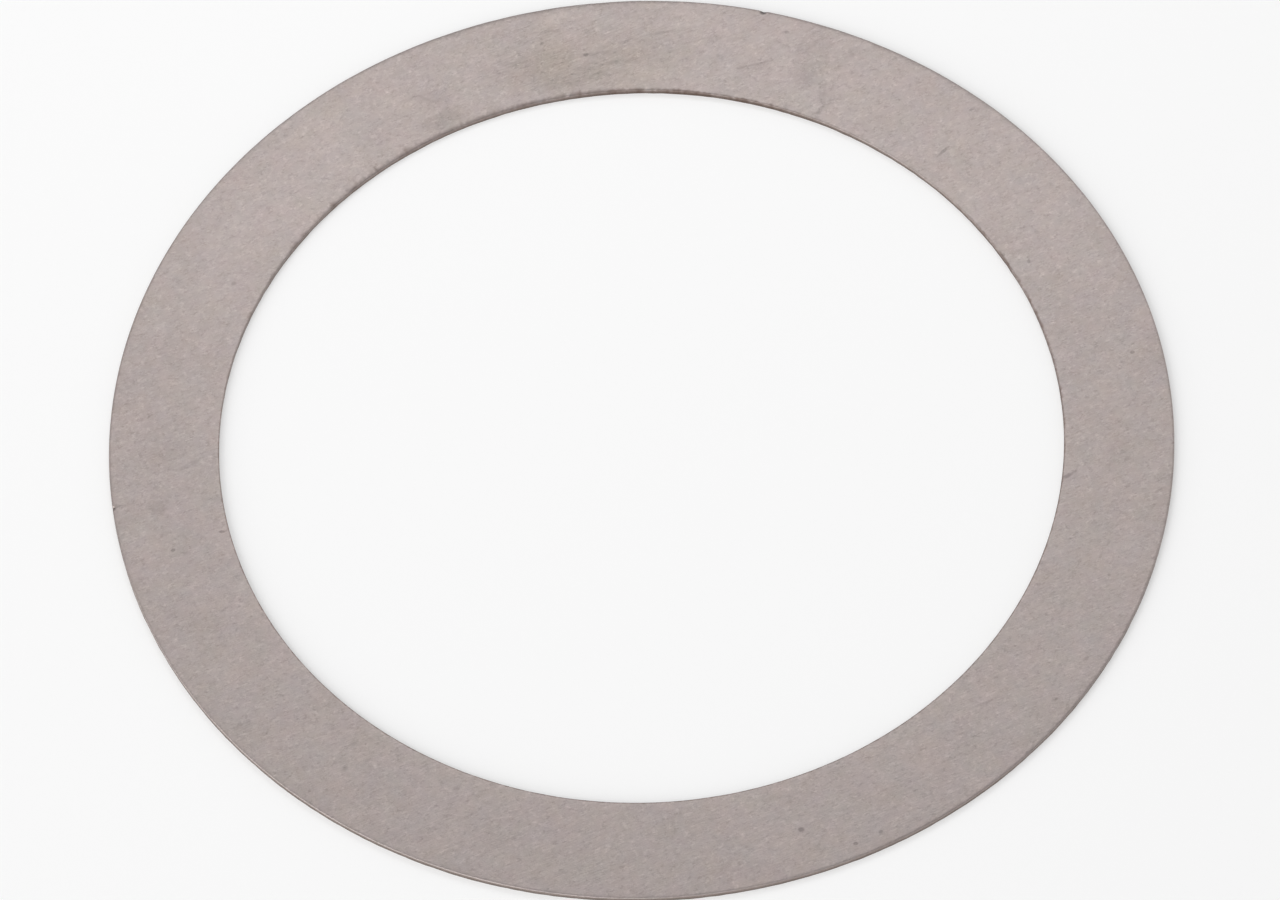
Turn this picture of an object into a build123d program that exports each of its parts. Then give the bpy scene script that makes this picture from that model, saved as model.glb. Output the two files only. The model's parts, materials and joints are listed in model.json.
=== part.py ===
from build123d import *

import os

# A shim ring: one flat ring blanked from cold-rolled steel strip. It slides over a shaft, lies inside
# a housing bore and takes up axial play between two shoulders. The ring lies flat on its burr side.
# Frame: origin at the centre of the lower face, +Z along the ring's axis, towards the roll-over side.
# Units: millimetres.

# Driving dimensions
shaft_diameter = 63.0
housing_diameter = 80.0
strip_gauge = 0.5
bore_clearance = 0.25  # on the diameter, mid-way in the D12 zone
rim_clearance = 0.25  # on the diameter, mid-way in the d12 zone

# Form of a blanked edge, each as a share of the strip's gauge
roll_over_width = 0.42  # how far in from the wall the upper face starts to dip
roll_over_depth = 0.12  # how far the upper corner is drawn down
sheared_land = 0.36  # the straight, burnished part of the wall
die_gap = 0.06  # how far the torn lower part of the wall stands back from the land
deburr_radius = 0.06  # tumbled corner at the foot of the wall

quarter_turn = 90  # degrees

# Worked-out sizes
bore_radius = (shaft_diameter + bore_clearance) / 2
rim_radius = (housing_diameter - rim_clearance) / 2


def blanked_wall():
    """One blanked wall in section, with its land at x = 0 and the sheet at negative x.

    From the foot up: the tumbled corner, the torn slope, the sheared land and the roll-over, which is
    a quarter ellipse that runs out level into the upper face.
    """
    corner = deburr_radius * strip_gauge
    setback = die_gap * strip_gauge
    width = roll_over_width * strip_gauge
    depth = roll_over_depth * strip_gauge
    land_top = strip_gauge - depth
    land_foot = land_top - sheared_land * strip_gauge
    return [
        CenterArc((-setback - corner, corner), corner, -quarter_turn, quarter_turn),
        Line((-setback, corner), (0, land_foot)),
        Line((0, land_foot), (0, land_top)),
        EllipticalCenterArc((-width, land_top), width, depth, start_angle=0, arc_size=quarter_turn),
    ]


def ring_section():
    """The ring's cross-section: x is the radius and y the height above the lower face."""
    rim_wall = [Pos(rim_radius, 0) * edge for edge in blanked_wall()]
    bore_wall = [Pos(bore_radius, 0) * mirror(edge, about=Plane.YZ) for edge in blanked_wall()]
    foot = (deburr_radius + die_gap) * strip_gauge
    brow = roll_over_width * strip_gauge
    lower_face = Line((bore_radius + foot, 0), (rim_radius - foot, 0))
    upper_face = Line((bore_radius + brow, strip_gauge), (rim_radius - brow, strip_gauge))
    return make_face(Curve() + rim_wall + bore_wall + [lower_face, upper_face])


def shim_ring():
    """The section turned once about the ring's axis."""
    return revolve(Plane.XZ * ring_section(), axis=Axis.Z)


os.makedirs("parts", exist_ok=True)
export_step(shim_ring(), "parts/shim_ring.step")
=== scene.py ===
import json
import math

import bpy
import numpy as np
from mathutils import Matrix, Vector


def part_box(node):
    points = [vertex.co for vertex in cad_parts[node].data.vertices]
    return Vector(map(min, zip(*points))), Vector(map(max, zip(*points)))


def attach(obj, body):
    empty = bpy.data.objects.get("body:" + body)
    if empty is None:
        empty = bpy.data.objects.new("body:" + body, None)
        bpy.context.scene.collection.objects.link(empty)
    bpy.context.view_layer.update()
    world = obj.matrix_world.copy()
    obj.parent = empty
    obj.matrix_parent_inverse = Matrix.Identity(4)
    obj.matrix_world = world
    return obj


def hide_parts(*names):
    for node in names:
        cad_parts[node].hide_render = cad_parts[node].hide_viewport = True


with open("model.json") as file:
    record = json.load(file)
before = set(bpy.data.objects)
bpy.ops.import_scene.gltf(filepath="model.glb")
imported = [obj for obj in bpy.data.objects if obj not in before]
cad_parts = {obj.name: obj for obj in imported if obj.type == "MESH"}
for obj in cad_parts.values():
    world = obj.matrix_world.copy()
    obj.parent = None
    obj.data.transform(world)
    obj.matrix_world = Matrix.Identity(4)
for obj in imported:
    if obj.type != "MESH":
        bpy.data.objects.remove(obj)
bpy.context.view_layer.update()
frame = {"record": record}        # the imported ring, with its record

# A shim ring blanked from steel strip, lying flat on a pale floor.
# The ring is one surface, worked out on a grid of angle by section, with its blanked edges in full:
# rolled-over corner, burnished land, torn slope and tumbled foot. Lengths are in metres.
# Angles are in degrees, from +X towards +Y.

MM = 0.001

# ---- Sizes from the frame ----
ring_low, ring_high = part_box("shim_ring")
gauge = ring_high.z - ring_low.z
mount_radius = {m["name"]: m["dims"]["r_mm"] * MM for m in frame["record"]["mounts"] if "r_mm" in m["dims"]}
bore_radius = mount_radius["shaft_bore"]
rim_radius = mount_radius["housing_rim"]

# ---- Form of a blanked edge, each as a share of the gauge ----
roll_over_width = 0.42
roll_over_depth = 0.12
sheared_land = 0.36
die_gap = 0.06
deburr_radius = 0.06
tear_roughness = 0.008

# ---- Unevenness of the edges: how far each size wavers, as a share of itself or, for the tear line, of
# the gauge, and the shortest and longest waves of that wavering round the ring ----
roll_width_waver, roll_width_waves = 0.20, (0.35 * MM, 3 * MM)
roll_depth_waver, roll_depth_waves = 0.10, (2 * MM, 40 * MM)
die_gap_waver, die_gap_waves = 0.25, (1 * MM, 20 * MM)
tear_line_waver, tear_line_waves = 0.05, (0.6 * MM, 12 * MM)
tear_waves = (0.4 * MM, 2 * MM)
soft_waver = 0.30
rim_seed, bore_seed, bore_shade_seed, tear_seed_step = 20, 60, 90, 10

# ---- Painted shade along the bore's edge: a dark brown over its roll-over and walls, for the shadowed floor they mirror ----
bore_shade_start, bore_shade_full = 0.30, 0.90  # shares of the bore's roll-over between which the painted shade comes in
bore_shade_level = 0.95
bore_shade_colour = (0.125, 0.078, 0.058, 1)
bore_shade_strength = 0.5
bore_shade_waver, bore_shade_waves = 0.25, (0.4 * MM, 8 * MM)
bore_shade_changes = [  # angle, spread to either side, change
    (140, 32, -0.78),
    (82, 9, 0.35),
    (50, 9, -0.80),
    (113.6, 0.7, 0.4),
    (118.0, 0.8, 0.5),
    (122.4, 0.6, 0.8),
    (127.3, 0.5, 1.5),
    (131.2, 0.7, 1.5),
    (135.2, 0.4, 3.0),
    (137.4, 0.4, 1.0),
    (141.2, 0.4, 1.2),
    (143.8, 0.8, 1.4),
    (149.6, 0.5, 1.0),
    (156.2, 0.5, 1.0),
]

# Where the strip was drawn down more softly: angle, spread to either side, extra width and extra depth
soft_bore = [
    (116, 21, 0.75, 0.12),
    (15, 12, 0.20, 0.06),
    (63.0, 0.5, 0.30, 0.02),
    (83.0, 0.5, 0.35, 0.02),
    (86.5, 0.5, 0.25, 0.02),
    (95.5, 1.8, 0.30, 0.02),
    (122.4, 0.6, 0.30, 0.03),
    (127.3, 0.5, 0.50, 0.05),
    (131.2, 0.7, 0.60, 0.06),
    (135.2, 0.4, 0.70, 0.08),
    (137.4, 0.4, 0.40, 0.04),
    (141.2, 0.4, 0.45, 0.05),
    (143.8, 0.8, 0.40, 0.05),
    (149.6, 0.5, 0.30, 0.03),
    (156.2, 0.5, 0.30, 0.03),
]
soft_rim = [
    (103, 12, 0.75, 0.10),
    (56, 11, 0.60, 0.08),
    (68.5, 1.2, 0.35, 0.02),
    (85.0, 0.6, 0.35, 0.03),
    (93.0, 0.9, 0.30, 0.03),
    (99.5, 1.0, 0.35, 0.03),
    (104.0, 0.7, 0.30, 0.03),
    (109.5, 0.8, 0.30, 0.03),
]

# Small dents in the rim's upper corner: angle, width, depth
rim_dents = [(74.4, 0.30 * MM, 0.08 * MM), (185.6, 0.16 * MM, 0.10 * MM)]
dent_reach = 1.2  # how far in from the wall a dent carries, as a share of its depth
dent_foot = 0.3  # the share of the gauge at which a dent ends
dent_drop = 0.5  # how far it lowers the corner, as a share of its depth

# ---- Grid of the ring ----
turn_steps = 1800
dent_steps, dent_span = 12, 1.5  # finer angles across a dent, out to this share of its width
upper_steps = 8
roll_steps = 8
land_steps = 2
tear_steps = 5
foot_steps = 3
lower_steps = 4


def ripple(turn, radius, shortest, longest, seed, terms=30):
    """A smooth random wave round the ring, mostly within -1 to 1.

    The sum of `terms` sines of the angle, each with a whole number of waves in the turn, whose lengths
    run from `longest` to `shortest` along the circle, at random phases. It closes on itself.
    """
    draw = np.random.default_rng(seed)
    waves = np.geomspace(1 / longest, 1 / shortest, terms) * 2 * math.pi * radius
    waves = np.maximum(np.round(waves + draw.uniform(-0.5, 0.5, terms)), 1)
    phase = draw.uniform(0, 2 * math.pi, terms)
    total = np.sin(turn[..., None] * waves + phase).sum(-1)
    return total * 1.4 / math.sqrt(terms)


def hill(turn, place, spread):
    """A bell curve of the angle: 1 at `place`, falling to exp(-1/2) at `spread` to either side."""
    away = (np.degrees(turn) - place + 180) % 360 - 180
    return np.exp(-0.5 * (away / spread) ** 2)


def turn_angles(dents, radius):
    """The grid's angles: even steps all round, with finer ones across each dent."""
    even = np.arange(turn_steps) * 2 * math.pi / turn_steps
    extra = [
        math.radians(place) + np.linspace(-dent_span, dent_span, dent_steps) * width / radius
        for place, width, depth in dents
    ]
    return np.unique(np.concatenate([even, *extra]) % (2 * math.pi))


def blanked_wall(turn, radius, soft, dents, seed):
    """One blanked wall, from the upper face down to the lower, for every angle of the ring.

    Gives two arrays, angle by station: how far the surface stands back from the wall's own radius, and
    its height. With s from 0 to 1 along each stretch, and g the gauge:
    roll-over: a quarter ellipse, back = width (1 - sin 90s), height = g - depth (1 - cos 90s);
    land: straight down from the roll-over to the tear line, which wavers;
    tear: back = die gap s plus a small random roughness, down to the foot's corner;
    foot: a quarter circle that runs out level into the lower face.
    """
    wide = ripple(turn, radius, *roll_width_waves, seed)
    width = roll_over_width * gauge * (1 + roll_width_waver * wide)
    deep = ripple(turn, radius, *roll_depth_waves, seed + 1)
    depth = roll_over_depth * gauge * (1 + roll_depth_waver * deep)
    for place, spread, wider, deeper in soft:
        width = width + wider * gauge * hill(turn, place, spread) * (1 + soft_waver * wide)
        depth = depth + deeper * gauge * hill(turn, place, spread)
    line = gauge - depth - sheared_land * gauge
    line = line + tear_line_waver * gauge * ripple(turn, radius, *tear_line_waves, seed + 2)
    far = ripple(turn, radius, *die_gap_waves, seed + 3)
    setback = die_gap * gauge * (1 + die_gap_waver * far)
    corner = deburr_radius * gauge

    def steps(count):
        """The shares 0 to 1 along a stretch, without its first point."""
        return np.linspace(0, 1, count + 1)[1:]

    s = np.linspace(0, 1, roll_steps + 1) * math.pi / 2
    width, depth, line, setback = (value[:, None] for value in (width, depth, line, setback))
    roll = width * (1 - np.sin(s)), gauge - depth * (1 - np.cos(s))
    s = steps(land_steps)
    land = 0 * line + 0 * s, (gauge - depth) * (1 - s) + line * s
    s = steps(tear_steps)
    rough = [ripple(turn, radius, *tear_waves, seed + tear_seed_step + k) for k in range(tear_steps)]
    rough = tear_roughness * gauge * np.stack(rough, 1) * (s < 1)
    tear = setback * s + rough, line * (1 - s) + corner * s
    s = steps(foot_steps) * math.pi / 2
    foot = setback + corner * (1 - np.cos(s)), 0 * line + corner * (1 - np.sin(s))
    back, height = (np.hstack(stretch) for stretch in zip(roll, land, tear, foot))

    for place, dent_width, dent_depth in dents:
        dent = hill(turn, place, math.degrees(dent_width / 2 / radius))[:, None]
        reach = np.exp(-0.5 * (back / (dent_reach * dent_depth)) ** 2)
        high = np.clip((height - dent_foot * gauge) / ((1 - dent_foot) * gauge), 0, 1)
        back = back + dent_depth * dent * reach * high
        height = height - dent_drop * dent_depth * dent * reach * high
    return back, height


def ring_mesh():
    """The whole ring as one closed grid: angle by section, joined to itself both ways.

    x = r cos a, y = r sin a, z = h, where (r, h) runs round the section: out across the upper face, down
    the rim, back across the lower face and up the bore. Also gives how far each column of vertices
    is torn, how much painted shade each vertex of the bore's edge gets, and whether each column of faces is
    sheared.
    """
    turn = turn_angles(rim_dents, rim_radius)
    rim_back, rim_height = blanked_wall(turn, rim_radius, soft_rim, rim_dents, rim_seed)
    bore_back, bore_height = blanked_wall(turn, bore_radius, soft_bore, [], bore_seed)
    rim_r, bore_r = rim_radius - rim_back, bore_radius + bore_back

    def across(start, end, steps):
        """Radii in even steps from one wall to the other, without the two ends."""
        return start[:, None] + (end - start)[:, None] * np.linspace(0, 1, steps + 1)[1:-1]

    upper = across(bore_r[:, 0], rim_r[:, 0], upper_steps)
    lower = across(rim_r[:, -1], bore_r[:, -1], lower_steps)
    radius = np.hstack([upper, rim_r, lower, bore_r[:, ::-1]])
    height = np.hstack([gauge + 0 * upper, rim_height, 0 * lower, bore_height[:, ::-1]])
    place = np.stack([radius * np.cos(turn)[:, None], radius * np.sin(turn)[:, None], height], -1)
    place += np.array([0, 0, ring_low.z])

    torn_wall = np.concatenate(
        [np.zeros(roll_steps + land_steps), np.linspace(0.5, 1, 2), np.ones(tear_steps + foot_steps - 1)]
    )
    sheared_wall = np.concatenate([np.zeros(roll_steps), np.ones(land_steps + tear_steps + foot_steps)])
    torn = np.concatenate([np.zeros(upper.shape[1]), torn_wall, np.zeros(lower.shape[1]), torn_wall[::-1]])
    sheared = np.concatenate(
        [np.zeros(upper.shape[1]), sheared_wall, np.zeros(lower.shape[1] + 1), sheared_wall[::-1], [0]]
    )
    share = np.sin(np.linspace(0, 1, roll_steps + 1) * math.pi / 2)
    share = np.clip((share - bore_shade_start) / (bore_shade_full - bore_shade_start), 0, 1)
    painted_shade_wall = np.concatenate(
        [share**2 * (3 - 2 * share), np.ones(land_steps + tear_steps), np.linspace(1, 0, foot_steps + 1)[1:]]
    )
    painted_shade = np.concatenate([np.zeros(place.shape[1] - painted_shade_wall.size), painted_shade_wall[::-1]])
    # How much painted shade the bore's edge gets, varied round the ring.
    uneven = bore_shade_level + bore_shade_waver * ripple(turn, bore_radius, *bore_shade_waves, bore_shade_seed)
    for spot, spread, change in bore_shade_changes:
        uneven = uneven * (1 + change * hill(turn, spot, spread))
    painted_shade = uneven[:, None] * painted_shade
    return place, torn, painted_shade, sheared


def new_object(name, data):
    """An object in the scene that holds this mesh, lamp or camera."""
    made = bpy.data.objects.new(name, data)
    bpy.context.scene.collection.objects.link(made)
    return made


def grid_object(name, place, values, slot_of_column):
    """A mesh object from a grid that is closed both ways, its faces' corners in order facing outwards."""
    rows, columns = place.shape[:2]
    number = np.arange(rows * columns).reshape(rows, columns)
    ahead, beside = np.roll(number, -1, 0), np.roll(number, -1, 1)
    corner = np.roll(ahead, -1, 1)
    quads = np.stack([number, beside, corner, ahead], -1).reshape(-1, 4)
    mesh = bpy.data.meshes.new(name)
    mesh.vertices.add(rows * columns)
    mesh.vertices.foreach_set("co", place.astype(np.float32).ravel())
    mesh.loops.add(quads.size)
    mesh.loops.foreach_set("vertex_index", quads.astype(np.int32).ravel())
    mesh.polygons.add(len(quads))
    mesh.polygons.foreach_set("loop_start", np.arange(0, quads.size, 4, dtype=np.int32))
    mesh.polygons.foreach_set("loop_total", np.full(len(quads), 4, np.int32))
    mesh.polygons.foreach_set("material_index", np.tile(slot_of_column, rows).astype(np.int32))
    mesh.polygons.foreach_set("use_smooth", np.ones(len(quads), bool))
    for label, value in values.items():
        layer = mesh.attributes.new(label, "FLOAT", "POINT")
        spread_out = np.broadcast_to(value, (rows, columns)).astype(np.float32)
        layer.data.foreach_set("value", spread_out.ravel())
    mesh.update()
    mesh.validate()
    return new_object(name, mesh)


# ---- Node helpers ----
def grey(value):
    """A neutral colour."""
    return (value, value, value, 1)


def add_node(tree, kind, inputs=None, **settings):
    """Adds a node. `inputs` gives a socket, by name or number, a value or another node's output."""
    made = tree.nodes.new(kind)
    for name, value in settings.items():
        setattr(made, name, value)
    for name, value in (inputs or {}).items():
        if isinstance(value, bpy.types.NodeSocket):
            tree.links.new(value, made.inputs[name])
        else:
            made.inputs[name].default_value = value
    return made


def sum_of(tree, operation, first, second=0.0, third=0.0, clamp=False):
    """A Math node's output."""
    inputs = {0: first, 1: second, 2: third}
    return add_node(tree, "ShaderNodeMath", inputs, operation=operation, use_clamp=clamp).outputs[0]


def between(tree, value, low, high, to_low=0.0, to_high=1.0):
    """A value carried smoothly from low..high to to_low..to_high, and held beyond them."""
    inputs = {"Value": value, "From Min": low, "From Max": high, "To Min": to_low, "To Max": to_high}
    return add_node(tree, "ShaderNodeMapRange", inputs, interpolation_type="SMOOTHSTEP").outputs[0]


def blend_colour(tree, factor, first, second, blend_type="MIX"):
    """A colour between two others."""
    inputs = {0: factor, 6: first, 7: second}
    return add_node(tree, "ShaderNodeMix", inputs, data_type="RGBA", blend_type=blend_type).outputs[2]


def new_group(name, inputs, outputs):
    """A shader node group with named sockets. Gives the tree, its inputs and a function to set an output."""
    tree = bpy.data.node_groups.new(name, "ShaderNodeTree")
    for label, kind, value in inputs:
        socket = tree.interface.new_socket(label, in_out="INPUT", socket_type=kind)
        if value is not None:
            socket.default_value = value
    for label, kind in outputs:
        tree.interface.new_socket(label, in_out="OUTPUT", socket_type=kind)
    given = tree.nodes.new("NodeGroupInput").outputs
    result = tree.nodes.new("NodeGroupOutput").inputs
    return tree, given, lambda label, value: tree.links.new(value, result[label])


def use_group(tree, group, inputs):
    """Places a group in a material. Gives its outputs."""
    return add_node(tree, "ShaderNodeGroup", inputs, node_tree=group).outputs


FLOAT, VECTOR, COLOUR = "NodeSocketFloat", "NodeSocketVector", "NodeSocketColor"


def grain_group():
    """Noise about 0, drawn out along one direction: turned by Turn, divided by Length, Width and Height."""
    tree, given, give = new_group(
        "drawn_out_grain",
        [
            ("Vector", VECTOR, None),
            ("Turn", FLOAT, 0.0),
            ("Length", FLOAT, 1 * MM),
            ("Width", FLOAT, 0.1 * MM),
            ("Height", FLOAT, 0.1 * MM),
            ("Detail", FLOAT, 2.0),
            ("Roughness", FLOAT, 0.6),
        ],
        [("Value", FLOAT)],
    )
    turned = add_node(
        tree, "ShaderNodeVectorRotate",
        {"Vector": given["Vector"], "Angle": sum_of(tree, "MULTIPLY", given["Turn"], -1.0)},
        rotation_type="Z_AXIS",
    ).outputs[0]
    size = add_node(
        tree, "ShaderNodeCombineXYZ", {0: given["Length"], 1: given["Width"], 2: given["Height"]}
    ).outputs[0]
    divided = add_node(tree, "ShaderNodeVectorMath", {0: turned, 1: size}, operation="DIVIDE").outputs[0]
    noise = add_node(
        tree, "ShaderNodeTexNoise",
        {"Vector": divided, "Scale": 1.0, "Detail": given["Detail"], "Roughness": given["Roughness"]},
    ).outputs[0]
    give("Value", sum_of(tree, "SUBTRACT", noise, 0.5))
    return tree


def make_bore_shade_group():
    """Painted shade: darkens a colour towards a dark brown, as far as the surface's painted shade value
    says.
    """
    tree, given, give = new_group(
        "painted_bore_shade",
        [("Color", COLOUR, None), ("Shade Colour", COLOUR, bore_shade_colour), ("Strength", FLOAT, bore_shade_strength)],
        [("Color", COLOUR)],
    )
    share = add_node(tree, "ShaderNodeAttribute", attribute_name="painted_shade").outputs["Fac"]
    share = sum_of(tree, "MULTIPLY", share, given["Strength"])
    give("Color", blend_colour(tree, share, given["Color"], given["Shade Colour"]))
    return tree


# ---- Marks on the upper face: angle, radius in mm, turn, half length in mm, half width in mm,
# softness, darkening (a lighter place is negative) ----
cloud_marks = [
    (67.5, 37.0, 70, 2.7, 1.35, 0.3, 0.062),
    (67.0, 34.9, 68, 1.2, 0.9, 0.6, 0.050),
    (63.35, 32.6, 63, 0.75, 0.16, 0.6, 0.15),
    (64.3, 34.2, 88, 1.1, 0.30, 0.6, 0.12),
    (79.3, 36.9, 0, 0.6, 0.4, 0.7, 0.04),
    (83.0, 32.4, 83, 0.5, 0.25, 0.7, 0.07),
    (97.3, 32.9, 8, 2.4, 0.7, 0.7, 0.085),
    (98.5, 33.9, 8, 3.6, 1.6, 0.5, 0.045),
    (100.8, 35.0, 8, 2.4, 1.1, 0.6, 0.045),
    (95.0, 33.9, 15, 0.7, 0.45, 0.6, 0.06),
    (88.5, 34.9, 10, 2.6, 1.2, 0.7, 0.022),
    (97.6, 38.9, 20, 1.35, 0.38, 0.6, -0.10),
    (82.5, 38.0, 15, 1.3, 0.50, 0.8, -0.04),
    (93.5, 38.4, 15, 1.3, 0.50, 0.8, -0.03),
    (106.8, 33.0, 10, 0.7, 0.7, 0.8, -0.045),
    (107.5, 37.2, 10, 1.9, 0.8, 0.8, -0.035),
    (115.2, 32.8, 25, 1.5, 0.7, 0.6, 0.125),
    (114.6, 35.0, 25, 1.5, 1.2, 0.6, 0.075),
    (97.0, 35.6, 7, 8.0, 4.2, 0.6, 0.042),
    (142.0, 35.6, 52, 9.0, 4.2, 0.8, -0.048),
    (36.0, 35.6, 126, 8.0, 4.2, 0.8, -0.032),
    (256.0, 35.6, 166, 9.0, 4.2, 0.8, 0.018),
    (114.0, 38.6, 24, 1.2, 0.8, 0.7, 0.03),
    (128.5, 35.5, 118, 3.0, 1.4, 0.7, -0.035),
    (57.5, 35.5, 60, 2.6, 2.0, 0.8, -0.02),
    (172.9, 33.1, 60, 0.8, 0.5, 0.7, -0.045),
    (178.7, 35.8, 20, 1.3, 1.2, 0.8, 0.035),
    (186.3, 36.5, 10, 0.70, 0.65, 0.6, 0.12),
    (203.0, 36.2, 20, 1.1, 0.9, 0.8, 0.030),
    (221.8, 32.6, 20, 0.9, 0.6, 0.5, 0.040),
    (233.0, 35.5, 30, 1.1, 1.1, 0.8, 0.030),
    (243.0, 37.3, 40, 1.0, 0.6, 0.8, 0.040),
    (278.5, 38.8, 8, 2.6, 0.8, 0.7, 0.030),
    (300.0, 36.2, 20, 1.4, 0.5, 0.8, 0.035),
    (355.6, 35.6, 70, 1.4, 0.7, 0.8, 0.035),
]
pit_marks = [
    (287.0, 36.1, 0, 0.23, 0.20, 0.4, 0.32),
    (295.1, 38.65, 30, 0.17, 0.14, 0.4, 0.26),
    (292.0, 38.75, 0, 0.18, 0.14, 0.4, 0.34),
    (192.6, 36.1, 60, 0.16, 0.14, 0.4, 0.30),
    (191.5, 32.2, 0, 0.22, 0.11, 0.4, 0.36),
    (9.3, 37.6, 0, 0.17, 0.14, 0.4, 0.30),
    (26.2, 33.15, 80, 0.17, 0.12, 0.4, 0.24),
    (94.8, 35.2, 20, 0.20, 0.16, 0.4, 0.25),
    (71.2, 38.4, 0, 0.16, 0.14, 0.4, 0.19),
    (99.8, 36.8, 70, 0.15, 0.13, 0.4, 0.14),
    (152.6, 34.0, 30, 0.20, 0.14, 0.6, 0.19),
    (230.3, 35.9, 40, 0.26, 0.18, 0.7, 0.13),
    (243.6, 33.2, 20, 0.26, 0.16, 0.7, 0.14),
    (215.6, 33.9, 30, 0.30, 0.22, 0.8, 0.11),
    (228.9, 33.8, 20, 0.26, 0.16, 0.7, 0.13),
    (327.3, 38.4, 40, 0.20, 0.15, 0.7, 0.17),
    (320.9, 38.4, 20, 0.28, 0.14, 0.7, 0.12),
    (354.7, 36.4, 30, 0.22, 0.16, 0.7, 0.13),
    # The next two darken the rim's two dents: painted shade in the nicks.
    (74.45, 39.72, 0, 0.24, 0.20, 0.5, 0.60),
    (185.8, 39.85, 0, 0.20, 0.16, 0.5, 0.45),
    (28.8, 31.75, 0, 0.18, 0.14, 0.5, 0.25),
]
scratch_marks = [
    (351.65, 32.05, 30, 0.40, 0.16, 0.5, 0.30),
    (352.35, 32.5, 30, 0.22, 0.12, 0.5, 0.14),
    (46.3, 34.4, 45, 0.60, 0.13, 0.5, 0.25),
    (316.1, 34.7, 23, 1.20, 0.11, 0.7, 0.13),
    (314.5, 33.5, 20, 0.45, 0.09, 0.7, 0.08),
    (73.2, 35.1, 13, 1.20, 0.10, 0.6, 0.13),
    (75.3, 34.4, 13, 0.30, 0.14, 0.7, 0.13),
    (85.6, 36.9, 9, 1.00, 0.14, 0.7, 0.15),
    (90.0, 36.15, 9, 1.10, 0.15, 0.7, 0.07),
    (91.2, 34.3, 5, 1.20, 0.17, 0.7, 0.10),
    (93.5, 35.2, 5, 0.90, 0.17, 0.7, 0.11),
    (98.8, 37.8, 5, 0.80, 0.14, 0.7, 0.11),
    (102.8, 35.5, 5, 0.60, 0.14, 0.7, 0.08),
    (115.5, 35.0, 153, 0.95, 0.14, 0.6, 0.08),
    (114.3, 36.6, 82, 0.65, 0.15, 0.6, 0.06),
    (116.9, 35.65, 25, 0.5, 0.14, 0.6, 0.07),
    (180.6, 33.8, 29, 0.80, 0.18, 0.7, 0.13),
    (217.5, 38.8, 32, 0.95, 0.16, 0.7, 0.10),
    (201.0, 38.0, 30, 0.40, 0.15, 0.7, 0.09),
    (199.3, 36.5, 25, 0.70, 0.13, 0.7, 0.06),
    (231.8, 34.3, 30, 0.35, 0.15, 0.7, 0.12),
    (246.6, 35.0, 30, 0.80, 0.12, 0.7, 0.06),
    (246.7, 38.2, 10, 0.40, 0.13, 0.7, 0.08),
]
# Faintly yellowed and more heavily scuffed part of the upper face, in the same terms
stain_marks = [
    (93, 34.0, 3, 7.0, 2.4, 0.4, 0.7),
    (125.5, 38.6, 35, 1.5, 1.0, 0.6, 0.5),
    (116.0, 32.8, 26, 1.6, 0.8, 0.6, 0.5),
    (99, 36.0, 99, 4.0, 1.4, 0.4, 0.4),
]
scuff_marks = [
    (96, 35.6, 5, 9.0, 3.4, 0.5, 1.0),
]
rolling_turn = 22

# ---- The rolled faces' colours and contrasts ----
steel_grey = (0.4195, 0.3655, 0.3505, 1)
steel_stained = (0.4225, 0.3660, 0.3375, 1)
cloud_contrast = 0.05
patch_contrast = 0.12
grain_contrast = 0.345
fleck_contrast = 0.26
grain_crowding = 3.6  # how unevenly the grain and flecks are spread
red_contrast = 0.10
yellow_contrast = 0.10
streak_contrast = 0.05
scuffed_cloud_contrast = 0.05
scuffed_streak_contrast = 0.20
rolled_roughness, grain_gloss = 0.52, -0.10
grain_relief, streak_relief = 2.0, 2.0
rolled_relief_depth = 0.004 * MM

# The rolled faces' noises: length and width in mm, detail, roughness and, where it isn't the rolling
# direction's, the turn in radians
cloud_noise = (4.4, 3.7, 0.0, 1.0)
patch_noise = (1.6, 1.3, 1.0, 1.0)
grain_noise = (0.42, 0.34, 2.0, 1.0)
fleck_noise = (0.38, 0.15, 1.0, 1.0)
crowding_noise = (0.50, 0.42, 0.0, 1.0, 1.1)
streak_noise = (1.6, 0.13, 2.0, 0.6)
redness_noise = (3.0, 2.6, 2.0, 0.9, 2.0)
yellowness_noise = (2.8, 2.4, 2.0, 0.9, 0.7)

# ---- The blanked walls' colours, roughness and noises: size across and down the wall in mm, detail ----
# The walls' colours are darker than the rolled steel's: partly the torn steel's own colour, partly painted
# shade of the shadowed floor that the walls mirror.
land_dark, land_light = (0.285, 0.236, 0.215, 1), (0.365, 0.303, 0.278, 1)
tear_dark, tear_light = (0.178, 0.145, 0.128, 1), (0.302, 0.251, 0.226, 1)
land_roughness, torn_extra_roughness = 0.42, 0.25
sheared_relief_depth = 0.006 * MM
drag_noise = (0.10, 1.2, 2.0)
crumb_noise = (0.06, 0.05, 3.0)
wall_noise_gain = 2.2


def upper_marks(tree, point, marks):
    """The sum of a list of marks, each an ellipse that fades out round its edge.

    With d the distance from the ellipse's centre, as a share of its half lengths, a mark's darkening falls
    smoothly from full to nothing as d goes from 1 - softness to 1 + softness. The texture gives
    1 - d / (1 + softness).
    """
    total = None
    for angle, radius, turn, half_length, half_width, softness, amount in marks:
        reach = 1 + softness
        disc = add_node(tree, "ShaderNodeTexGradient", {"Vector": point}, gradient_type="SPHERICAL")
        own = disc.texture_mapping
        own.vector_type = "TEXTURE"
        own.translation = (
            radius * MM * math.cos(math.radians(angle)), radius * MM * math.sin(math.radians(angle)), 0
        )
        own.rotation = (0, 0, math.radians(turn))
        own.scale = (reach * half_length * MM, reach * half_width * MM, 1)
        shade = between(tree, disc.outputs["Fac"], 0.0, 2 * softness / reach, 0.0, amount)
        total = shade if total is None else sum_of(tree, "ADD", total, shade)
    return total


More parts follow.
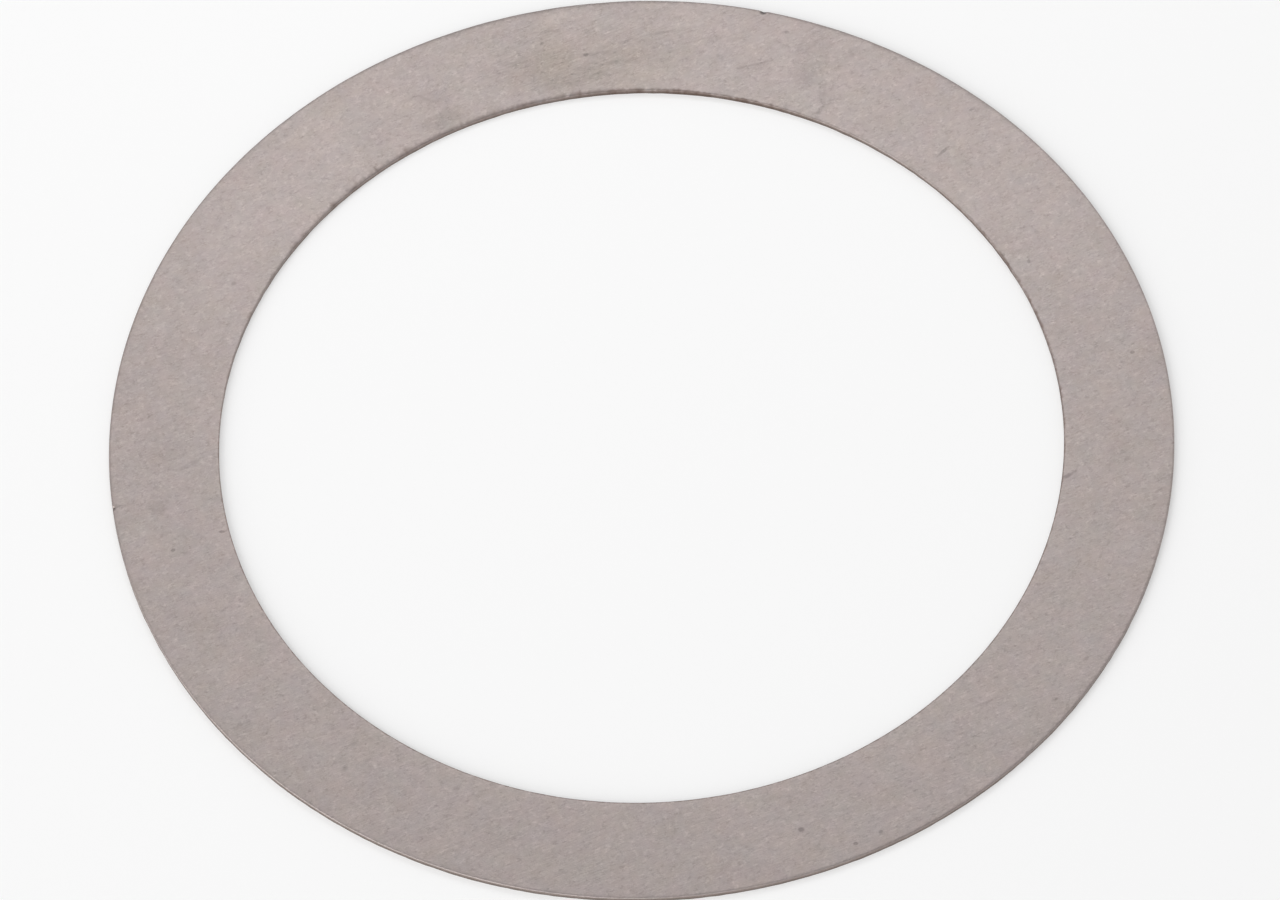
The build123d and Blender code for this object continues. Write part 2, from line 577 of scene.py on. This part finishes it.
def new_material(name):
    """An empty material with a Principled shader. Gives it with its tree, shader and object coordinates."""
    made = bpy.data.materials.new(name)
    made.use_nodes = True
    tree = made.node_tree
    tree.nodes.clear()
    shader = tree.nodes.new("ShaderNodeBsdfPrincipled")
    output = tree.nodes.new("ShaderNodeOutputMaterial")
    tree.links.new(shader.outputs[0], output.inputs["Surface"])
    point = tree.nodes.new("ShaderNodeTexCoord").outputs["Object"]
    return made, tree, shader, point


def finish_steel(tree, shader, colour, roughness, relief, relief_depth):
    """Gives a bare metal its colour, its roughness and its fine relief, as deep as relief_depth."""
    inputs = {"Strength": 1.0, "Distance": relief_depth, "Height": relief}
    bump = add_node(tree, "ShaderNodeBump", inputs).outputs[0]
    tree.links.new(colour, shader.inputs["Base Color"])
    tree.links.new(roughness, shader.inputs["Roughness"])
    tree.links.new(bump, shader.inputs["Normal"])
    shader.inputs["Metallic"].default_value = 1.0


def rolled_steel(grain, bore_shade_group):
    """The strip's rolled faces: matte warm grey, fine drawn-out grain, soft clouds, pits and scratches."""
    made, tree, shader, point = new_material("rolled_steel")
    turn = math.radians(rolling_turn)

    def noise(length, width, detail, roughness, turn=turn):
        inputs = {
            "Vector": point, "Turn": turn, "Length": length * MM, "Width": width * MM,
            "Height": width * MM, "Detail": detail, "Roughness": roughness,
        }
        return use_group(tree, grain, inputs)["Value"]

    clouds = noise(*cloud_noise)
    patches = noise(*patch_noise)
    grains = noise(*grain_noise)
    flecks = noise(*fleck_noise)
    crowding = noise(*crowding_noise)
    streaks = noise(*streak_noise)
    redness = noise(*redness_noise)
    yellowness = noise(*yellowness_noise)
    height = add_node(tree, "ShaderNodeSeparateXYZ", {0: point}).outputs[2]
    on_top = between(tree, height, 0.5 * gauge, 0.6 * gauge)
    flat = add_node(
        tree, "ShaderNodeVectorMath", {0: point, 1: (1, 1, 0)}, operation="MULTIPLY"
    ).outputs[0]
    cloudy = sum_of(tree, "MULTIPLY", upper_marks(tree, flat, cloud_marks), on_top)
    # Two of these pit marks are painted shade in the rim's dents.
    pits = upper_marks(tree, flat, pit_marks)
    scratches = upper_marks(tree, flat, scratch_marks)
    damage = sum_of(tree, "MULTIPLY", sum_of(tree, "ADD", pits, scratches), on_top)
    stained = sum_of(tree, "MULTIPLY", upper_marks(tree, flat, stain_marks), on_top)
    scuffed = sum_of(tree, "MULTIPLY", upper_marks(tree, flat, scuff_marks), on_top)

    cloud_gain = sum_of(tree, "MULTIPLY_ADD", scuffed, scuffed_cloud_contrast, cloud_contrast)
    streak_gain = sum_of(tree, "MULTIPLY_ADD", scuffed, scuffed_streak_contrast, streak_contrast)
    tone = sum_of(tree, "MULTIPLY_ADD", clouds, cloud_gain, 1.0)
    tone = sum_of(tree, "MULTIPLY_ADD", patches, patch_contrast, tone)
    fine = sum_of(tree, "MULTIPLY", grains, grain_contrast)
    fine = sum_of(tree, "MULTIPLY_ADD", flecks, fleck_contrast, fine)
    crowded = sum_of(tree, "MULTIPLY_ADD", crowding, grain_crowding, 1.0)
    tone = sum_of(tree, "MULTIPLY_ADD", fine, crowded, tone)
    tone = sum_of(tree, "MULTIPLY_ADD", streaks, streak_gain, tone)
    tone = sum_of(tree, "SUBTRACT", tone, cloudy)
    tone = sum_of(tree, "SUBTRACT", tone, damage)
    red = sum_of(tree, "MULTIPLY_ADD", redness, red_contrast, tone)
    blue = sum_of(tree, "MULTIPLY_ADD", yellowness, -yellow_contrast, tone)
    shade = add_node(tree, "ShaderNodeCombineColor", {0: red, 1: tone, 2: blue}).outputs[0]
    tint = blend_colour(tree, stained, steel_grey, steel_stained)
    colour = blend_colour(tree, 1.0, tint, shade, "MULTIPLY")
    # Painted shade along the bore's roll-over.
    colour = use_group(tree, bore_shade_group, {"Color": colour})["Color"]
    roughness = sum_of(tree, "MULTIPLY_ADD", grains, grain_gloss, rolled_roughness)
    relief = sum_of(tree, "MULTIPLY", grains, grain_relief)
    relief = sum_of(tree, "MULTIPLY_ADD", streaks, streak_relief, relief)
    finish_steel(tree, shader, colour, roughness, relief, rolled_relief_depth)
    return made


def sheared_steel(grain, bore_shade_group):
    """The blanked walls: a burnished land with fine drag lines down it, and a rougher, darker tear.

    Both are coloured darker than the rolled faces: partly the torn steel's own colour, partly painted
    shade of the shadowed floor that the walls mirror.
    """
    made, tree, shader, point = new_material("sheared_steel")

    def noise(across, down, detail):
        inputs = {
            "Vector": point, "Turn": 0.0, "Length": across * MM, "Width": across * MM,
            "Height": down * MM, "Detail": detail, "Roughness": 0.6,
        }
        value = use_group(tree, grain, inputs)["Value"]
        return sum_of(tree, "MULTIPLY_ADD", value, wall_noise_gain, 0.5, clamp=True)

    drag = noise(*drag_noise)
    crumbs = noise(*crumb_noise)
    torn = add_node(tree, "ShaderNodeAttribute", attribute_name="torn").outputs["Fac"]
    land_colour = blend_colour(tree, drag, land_dark, land_light)
    tear_colour = blend_colour(tree, crumbs, tear_dark, tear_light)
    colour = blend_colour(tree, torn, land_colour, tear_colour)
    # Painted shade along the bore's walls.
    colour = use_group(tree, bore_shade_group, {"Color": colour})["Color"]
    roughness = sum_of(tree, "MULTIPLY_ADD", torn, torn_extra_roughness, land_roughness)
    relief = blend_colour(tree, torn, drag, crumbs)
    finish_steel(tree, shader, colour, roughness, relief, sheared_relief_depth)
    return made


# ---- The ring ----
grain = grain_group()
# The group that lays painted shade along the bore's edge.
bore_shade_group = make_bore_shade_group()
place, torn, painted_shade, sheared = ring_mesh()
ring = grid_object("ring_surface", place, {"torn": torn, "painted_shade": painted_shade}, sheared)
ring.data.materials.append(rolled_steel(grain, bore_shade_group))
ring.data.materials.append(sheared_steel(grain, bore_shade_group))
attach(ring, "root")
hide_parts("shim_ring")

# ---- Floor ----
floor_half = 3.0
floor_drop = 0.02 * MM
floor_white = 0.90
floor_glow = 0.4  # share of plain white that the eye and reflections see near the ring
floor_fade_start, floor_fade_end = 2.0 * rim_radius, 5.0 * rim_radius


def floor():
    """A flat pale floor that keeps the ring's shadow and runs out into white."""
    mesh = bpy.data.meshes.new("floor")
    low = ring_low.z - floor_drop
    corners = [(x * floor_half, y * floor_half, low) for x, y in ((-1, -1), (1, -1), (1, 1), (-1, 1))]
    mesh.from_pydata(corners, [], [(0, 1, 2, 3)])
    made = new_object("floor", mesh)
    material = bpy.data.materials.new("pale_floor")
    material.use_nodes = True
    tree = material.node_tree
    tree.nodes.clear()
    point = tree.nodes.new("ShaderNodeTexCoord").outputs["Object"]
    away = add_node(tree, "ShaderNodeVectorMath", {0: point}, operation="LENGTH").outputs["Value"]
    share = between(tree, away, floor_fade_start, floor_fade_end, floor_glow, 1.0)
    path = tree.nodes.new("ShaderNodeLightPath").outputs
    seen = sum_of(tree, "MAXIMUM", path["Is Camera Ray"], path["Is Glossy Ray"])
    seen = sum_of(tree, "MAXIMUM", seen, path["Is Transmission Ray"])
    paint = add_node(tree, "ShaderNodeBsdfDiffuse", {"Color": grey(floor_white)}).outputs[0]
    white = add_node(tree, "ShaderNodeEmission", {"Color": grey(1), "Strength": 1.0}).outputs[0]
    mixed = add_node(
        tree, "ShaderNodeMixShader", {0: sum_of(tree, "MULTIPLY", seen, share), 1: paint, 2: white}
    ).outputs[0]
    output = tree.nodes.new("ShaderNodeOutputMaterial")
    tree.links.new(mixed, output.inputs["Surface"])
    mesh.materials.append(material)


floor()


# ---- Light ----
def soft_light(name, place, aim, size, radiance):
    """A flat lamp that faces its aim. Its power gives the wanted radiance: radiance = power / (pi area)."""
    lamp = bpy.data.lights.new(name, "AREA")
    lamp.shape = "RECTANGLE"
    lamp.size, lamp.size_y = size
    lamp.energy = radiance * math.pi * size[0] * size[1]
    made = new_object(name, lamp)
    made.location = place
    made.rotation_euler = (Vector(aim) - Vector(place)).to_track_quat("-Z", "Y").to_euler()


centre = Vector((0, 0, gauge))
soft_light("back_softbox", (0.0, 0.170, 0.225), (0, 0.026, 0), (0.18, 0.13), 2.34)
soft_light("key_softbox", (-0.72, -0.65, 0.60), centre, (1.9, 1.3), 2.2)

room_grey = 0.32
back_right_grey, back_left_grey = 0.92, 0.57  # the room to either side behind the ring
front_low_grey = 0.90  # the room's lower part in front of the ring

world = bpy.data.worlds.new("studio")
bpy.context.scene.world = world
world.use_nodes = True
tree = world.node_tree
tree.nodes.clear()
ray = tree.nodes.new("ShaderNodeTexCoord").outputs["Generated"]
across, behind, level = add_node(tree, "ShaderNodeSeparateXYZ", {0: ray}).outputs
horizon = between(tree, sum_of(tree, "ABSOLUTE", level), 0.01, 0.08, 1.0, 0.0)
at_back = between(tree, behind, 0.10, 0.35)
at_front = between(tree, behind, -0.30, 0.0, 1.0, 0.0)
low_front = sum_of(tree, "MULTIPLY", at_front, between(tree, level, 0.15, 0.50, 1.0, 0.0))
at_right = sum_of(tree, "MULTIPLY", between(tree, across, 0.25, 0.50), at_back)
at_left = sum_of(tree, "MULTIPLY", between(tree, across, -0.50, -0.25, 1.0, 0.0), at_back)
sky = blend_colour(tree, at_right, grey(room_grey), grey(back_right_grey))
sky = blend_colour(tree, at_left, sky, grey(back_left_grey))
sky = blend_colour(tree, low_front, sky, grey(front_low_grey))
sky = blend_colour(tree, horizon, sky, grey(1))
background = add_node(tree, "ShaderNodeBackground", {"Color": sky, "Strength": 1.0}).outputs[0]
output = tree.nodes.new("ShaderNodeOutputWorld")
tree.links.new(background, output.inputs["Surface"])

# ---- Camera ----
camera_elevation = 57.41
camera_roll = 2.43
camera_distance = 30 * rim_radius
view_width = 2.4024 * rim_radius
aim_right, aim_up = -0.0024 * rim_radius, -0.0164 * rim_radius
sensor_width = 36  # mm
nearest, farthest = 0.01, 10.0


def camera():
    """Looks down along +Y, rolled a little, with the ring's upper face in the middle of the view."""
    up_angle, roll = math.radians(camera_elevation), math.radians(camera_roll)
    ahead = Vector((0, math.cos(up_angle), -math.sin(up_angle)))
    level, rise = Vector((1, 0, 0)), Vector((0, math.sin(up_angle), math.cos(up_angle)))
    right = level * math.cos(roll) - rise * math.sin(roll)
    up = level * math.sin(roll) + rise * math.cos(roll)
    lens = bpy.data.cameras.new("camera")
    lens.sensor_width = sensor_width
    lens.lens = sensor_width * camera_distance / view_width
    lens.clip_start, lens.clip_end = nearest, farthest
    made = new_object("camera", lens)
    turned = Matrix((right, up, -ahead)).transposed().to_4x4()
    spot = centre - ahead * camera_distance + right * aim_right + up * aim_up
    made.matrix_world = Matrix.Translation(spot) @ turned
    bpy.context.scene.camera = made


camera()
bpy.context.scene.view_settings.view_transform = "Standard"
